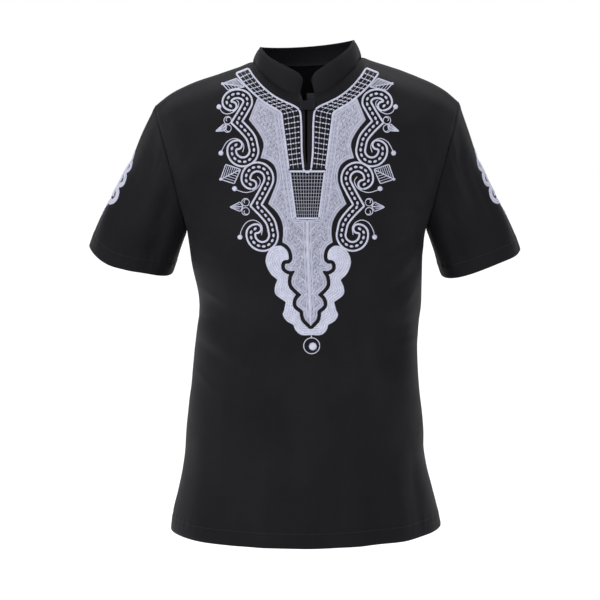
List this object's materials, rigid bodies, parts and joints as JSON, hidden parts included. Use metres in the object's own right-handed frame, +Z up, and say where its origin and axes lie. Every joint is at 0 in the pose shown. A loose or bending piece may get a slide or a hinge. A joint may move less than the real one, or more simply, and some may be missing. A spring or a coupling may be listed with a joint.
{
  "type": "dashiki shirt",
  "caption": "Short-sleeved dashiki shirt with a stand collar, a neck slit closed by a tab and an embroidered yoke, in the shape it has when worn.",
  "frame": {"origin": "middle of the neck opening, level with the points where the shoulder seams reach the collar", "axes": "-Y is the front of the shirt, +X the wearer's left, +Z up along the wearer's neck"},
  "size_m": [0.6653, 0.3024, 0.7554],
  "materials": {
    "cloth": "matt black plain-woven cotton with a faint sheen",
    "collar": "the same black cotton, doubled and topstitched",
    "embroidery": "pale lavender-white satin stitch with a silky sheen"
  },
  "bodies": {
    "root": {"front_panel": "cloth", "back_panel": "cloth", "sleeve_left": "cloth", "sleeve_right": "cloth", "collar": "collar", "neck_tab": "collar"}
  },
  "joints": []
}
